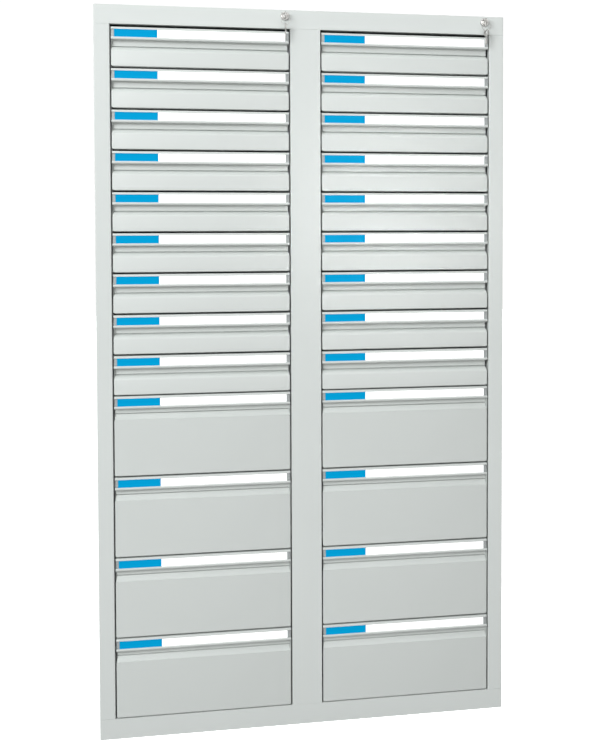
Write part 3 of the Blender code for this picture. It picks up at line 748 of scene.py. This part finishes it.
def key_outline():
    """Side of a key along +Y from its bow's centre: bow, neck and blade with its cuts."""
    meet = math.asin(KEY_HALF / KEY_BOW)
    outline = []
    for step in range(KEY_BOW_STEPS + 1):
        angle = meet + (2 * math.pi - 2 * meet) * step / KEY_BOW_STEPS
        outline.append((KEY_BOW * math.cos(angle), KEY_BOW * math.sin(angle)))
    start = KEY_BOW + KEY_NECK
    tip = start + KEY_BLADE
    for share, depth in KEY_CUTS:
        along = start + KEY_BLADE * share
        outline += [
            (along - KEY_CUT_HALF, -KEY_HALF),
            (along - KEY_CUT_HALF / 4, -KEY_HALF + depth),
            (along + KEY_CUT_HALF / 4, -KEY_HALF + depth),
            (along + KEY_CUT_HALF, -KEY_HALF),
        ]
    outline += [
        (tip - KEY_TIP, -KEY_HALF),
        (tip, -KEY_HALF + KEY_TIP),
        (tip, KEY_HALF - KEY_TIP / 2),
        (tip - KEY_TIP / 2, KEY_HALF),
    ]
    return outline


def key_mesh():
    """Key with a hole and a shallow recess in its bow and a groove milled in each side of its blade."""
    half = KEY_THICKNESS / 2
    plate = prism(key_outline(), "X", -half, half)
    groove_start = KEY_BOW + KEY_NECK / 2
    groove_end = KEY_BOW + KEY_NECK + KEY_BLADE + OVERRUN
    cuts = [round_bar(KEY_HOLE, -OVERRUN, OVERRUN, KEY_HOLE_STEPS, -KEY_HOLE_OFFSET)]
    for side in (-1, 1):
        near, far = sorted((side * (half - KEY_RECESS), side * OVERRUN))
        groove_low = side * KEY_GROOVE_RISE - KEY_GROOVE_HALF
        groove_high = side * KEY_GROOVE_RISE + KEY_GROOVE_HALF
        cuts.append(round_bar(KEY_BOW - KEY_RIM, near, far, KEY_RECESS_STEPS, 0.0))
        cuts.append(box((near, groove_start, groove_low), (far, groove_end, groove_high)))
    return softened(bevelled(combined(plate, cut=cuts), KEY_BEVEL))


def split_ring():
    """Key ring of round wire wound nearly twice, in the XZ plane."""
    shape = bmesh.new()
    steps = int(RING_STEPS * RING_TURNS)
    spokes = [2 * math.pi * side / RING_SIDES for side in range(RING_SIDES)]
    rings = []
    for step in range(steps + 1):
        turn = 2 * math.pi * RING_TURNS * step / steps + RING_START
        way = Vector((math.cos(turn), 0, math.sin(turn)))
        lift = RING_WIRE * 2 * RING_TURNS * (step / steps - 0.5)
        centre = way * RING_RADIUS + Vector((0, lift, 0))
        ring = []
        for spoke in spokes:
            out = way * math.cos(spoke) + Vector((0, math.sin(spoke), 0))
            ring.append(shape.verts.new(centre + out * RING_WIRE))
        rings.append(ring)
    for ring, after in zip(rings, rings[1:]):
        for side in range(RING_SIDES):
            nxt = (side + 1) % RING_SIDES
            shape.faces.new((ring[side], ring[nxt], after[nxt], after[side]))
    shape.faces.new(rings[0])
    shape.faces.new(rings[-1])
    return softened(finished(shape), RING_SMOOTH)


def coated(mesh, look):
    """Give a whole mesh one material."""
    if not mesh.materials:
        mesh.materials.append(look)
    for index in range(len(mesh.materials)):
        mesh.materials[index] = look


def placed(name, mesh, look, body, place):
    """Add a piece that moves with a body."""
    piece = linked(name, mesh)
    coated(mesh, LOOKS[look])
    piece.location = place
    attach(piece, body)
    return piece


def drawer_parts(kind, height, half_opening):
    """Meshes that all drawers of a kind share, with their look."""
    half = half_opening - SIDE_GAP
    shell = round_ended(front_outline(kind, height), half)
    front = combined(shell, cut=[front_hollow(kind, height, half)])
    window_top = height - LIP_TOP
    window_low = window_top - LABEL_WINDOW
    card_low = window_low - CARD_TUCK
    card_high = window_top + SLOT_REACH / 2 - CARD_PLAY
    card_back = CARD_FRONT + CARD_THICKNESS
    blue_end = -half + CARD_START + BLUE_LENGTH
    blue = box((-half + CARD_START, CARD_FRONT, card_low), (blue_end, card_back, card_high))
    white = box((blue_end + CARD_GAP, CARD_FRONT, card_low), (half - WHITE_END, card_back, card_high))
    catch = box(
        (half_opening - TRAY_SIDE_SPACE, CATCH_START, CATCH_RISE),
        (half - RUNNER_INSET, CATCH_START + CATCH_DEPTH, CATCH_RISE + CATCH_HEIGHT),
    )
    stops = card_stops(half, window_low, window_top)
    return {
        # Deep fronts take the darker copy of the front coat, which is painted shade.
        "front": (softened(front), "shaded_deep_front_coat" if kind == "deep" else "front_coat"),
        "tray": (tray_mesh(height, half_opening), "powder_coat"),
        "left_runner": (runner_mesh(half_opening, -1), "zinc_steel"),
        "right_runner": (runner_mesh(half_opening, 1), "zinc_steel"),
        "catch": (bevelled(catch, CATCH_BEVEL), "zinc_steel"),
        "blue_card": (bevelled(blue, CARD_BEVEL), "label_blue"),
        "white_card": (bevelled(white, CARD_BEVEL), "label_white"),
        "card_stops": (bevelled(stops, CARD_BEVEL), "card_stop"),
    }


def dress_drawers():
    """Give every drawer its finer front, tray, runners, catch, label cards and card stops."""
    front_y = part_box("left_side_panel")[0][1]
    shared = {}
    for column in COLUMNS:
        for number in range(1, DRAWERS_PER_COLUMN + 1):
            name = f"{column}_drawer_{number:02d}"
            low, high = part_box(name)
            kind = "shallow" if number <= SHALLOW_DRAWERS else "deep"
            height = high[2] - low[2]
            half_opening = (high[0] - low[0]) / 2 + SIDE_GAP
            if kind not in shared:
                shared[kind] = drawer_parts(kind, height, half_opening)
            place = ((low[0] + high[0]) / 2, front_y, low[2])
            for part, (mesh, look) in shared[kind].items():
                piece = placed(f"{name}_{part}", mesh, look, name, place)
                if part == "front":
                    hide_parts(name)


def body_holding(node):
    """Name of the body that a node belongs to."""
    return next(body for body, nodes in frame["record"]["behaviour"]["bodies"].items() if node in nodes)


def stand_in(node, detail, mesh, look, place):
    """Put a finer piece in a node's place."""
    piece = placed(f"{node}_{detail}", mesh, look, body_holding(node), place)
    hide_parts(node)


def spare_key_mesh(yaw):
    """Key that hangs by its hole, turned about the vertical."""
    mesh = key_mesh()
    mesh.transform(Matrix.Translation((0, KEY_HOLE_OFFSET, 0)))
    mesh.transform(Matrix.Rotation(math.radians(-90), 4, "X"))
    mesh.transform(Matrix.Rotation(yaw, 4, "Z"))
    return mesh


def dress_locks():
    """Give each lock its finer face, plug, keys and ring."""
    front_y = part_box("left_side_panel")[0][1]
    face, plug, ring = lock_face(), lock_plug(), split_ring()
    bow = -PLUG_PROUD - KEY_NECK - KEY_BOW
    hang = KEY_HOLE - RING_WIRE_CLEAR
    for column in COLUMNS:
        low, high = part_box(f"{column}_lock_plug")
        centre = Vector(((low[0] + high[0]) / 2, front_y, (low[2] + high[2]) / 2))
        ring_centre = centre + Vector((0, bow - KEY_HOLE_OFFSET, -hang - RING_RADIUS))
        ring_foot = ring_centre - Vector((0, 0, RING_RADIUS + hang))
        spare = spare_key_mesh(SPARE_YAWS[column])
        stand_in(f"{column}_lock_housing", "face", face, "lock_nickel", centre)
        stand_in(f"{column}_lock_plug", "core", plug, "lock_nickel", centre)
        stand_in(f"{column}_key", "blank", key_mesh(), "key_steel", centre + Vector((0, bow, 0)))
        stand_in(f"{column}_key_ring", "wire", ring, "key_steel", ring_centre)
        stand_in(f"{column}_spare_key", "blank", spare, "key_steel", ring_foot)


def dress_frame():
    """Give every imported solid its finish."""
    slots = {entry["node"]: entry["material_slot"] for entry in frame["record"]["subparts"]}
    for name, item in frame["nodes"].items():
        coated(item.data, LOOKS[slots[name]])


def light(name, place, target, size, power, colour):
    """A soft rectangular studio light that doesn't show in the picture itself."""
    lamp = bpy.data.lights.new(name, "AREA")
    lamp.shape = "RECTANGLE"
    lamp.size, lamp.size_y = size
    lamp.energy = power
    lamp.color = colour
    lamp.spread = BEAMS.get(name, math.pi)
    item = linked(name, lamp)
    item.location = place
    item.visible_camera = False
    item.rotation_euler = (Vector(target) - Vector(place)).to_track_quat("-Z", "Y").to_euler()


def maths(tree, operation, first, second, third=0.0):
    """A value worked out from sockets or numbers."""
    made = tree.nodes.new("ShaderNodeMath")
    made.operation = operation
    for socket, value in zip(made.inputs, (first, second, third)):
        if isinstance(value, (int, float)):
            socket.default_value = value
        else:
            tree.links.new(value, socket)
    return made.outputs["Value"]


def surroundings():
    """White backdrop, and the soft light from all round that the cabinet gets."""
    world = bpy.data.worlds.new("studio")
    bpy.context.scene.world = world
    world.use_nodes = True
    tree = world.node_tree
    back = tree.nodes["Background"]
    place = tree.nodes.new("ShaderNodeTexCoord")
    split = tree.nodes.new("ShaderNodeSeparateXYZ")
    tree.links.new(place.outputs["Generated"], split.inputs["Vector"])
    ahead = maths(tree, "MAXIMUM", maths(tree, "MULTIPLY", split.outputs["Y"], -1.0), 0.0)
    ahead = maths(tree, "MULTIPLY", ahead, ahead)
    behind = maths(tree, "MAXIMUM", split.outputs["Y"], 0.0)
    strength = maths(tree, "MULTIPLY_ADD", ahead, WORLD_FRONT, WORLD_BASE)
    strength = maths(tree, "MULTIPLY_ADD", split.outputs["Z"], WORLD_UP, strength)
    strength = maths(tree, "MULTIPLY_ADD", split.outputs["X"], -WORLD_SIDE, strength)
    strength = maths(tree, "MULTIPLY_ADD", behind, WORLD_BACK, strength)
    rise = maths(tree, "MULTIPLY_ADD", split.outputs["Z"], 0.5, 0.5)
    tree.links.new(tinted(tree, rise, WORLD_WARM, WORLD_COOL, 0.0, 1.0), back.inputs["Color"])
    path = tree.nodes.new("ShaderNodeLightPath")
    seen = path.outputs["Is Camera Ray"]
    unseen = maths(tree, "MULTIPLY", strength, maths(tree, "SUBTRACT", 1.0, seen))
    shown = maths(tree, "MULTIPLY_ADD", seen, BACKDROP, unseen)
    tree.links.new(shown, back.inputs["Strength"])


def pale_floor():
    """Plain pale floor that the camera sees and that lights nothing."""
    mesh = box(*FLOOR_CORNERS)
    floor = linked("floor", mesh)
    look, tree, shader = node_tree("pale_floor")
    tint = tinted(tree, noise(tree, FLOOR_NOISE), FLOOR_DARK, FLOOR_LIGHT)
    tree.links.new(tint, shader.inputs["Base Color"])
    shader.inputs["Roughness"].default_value = FLOOR_ROUGHNESS
    shader.inputs["Emission Color"].default_value = (1, 1, 1, 1)
    shader.inputs["Emission Strength"].default_value = FLOOR_GLOW
    coated(mesh, look)
    floor.visible_diffuse = False
    floor.visible_glossy = False


def camera():
    """Camera at the photograph's viewpoint."""
    data = bpy.data.cameras.new("camera")
    data.sensor_width = CAMERA_SENSOR
    data.lens = CAMERA_LENS
    data.shift_x, data.shift_y = CAMERA_SHIFT
    item = linked("camera", data)
    item.location = CAMERA_PLACE
    item.rotation_euler = (math.pi / 2 + CAMERA_PITCH, 0.0, -CAMERA_YAW)
    bpy.context.scene.camera = item


camera()
pale_floor()
surroundings()
for light_name, settings in LIGHTS.items():
    light(light_name, *settings)
dress_frame()
dress_drawers()
dress_locks()
bpy.context.scene.view_settings.view_transform = "Standard"
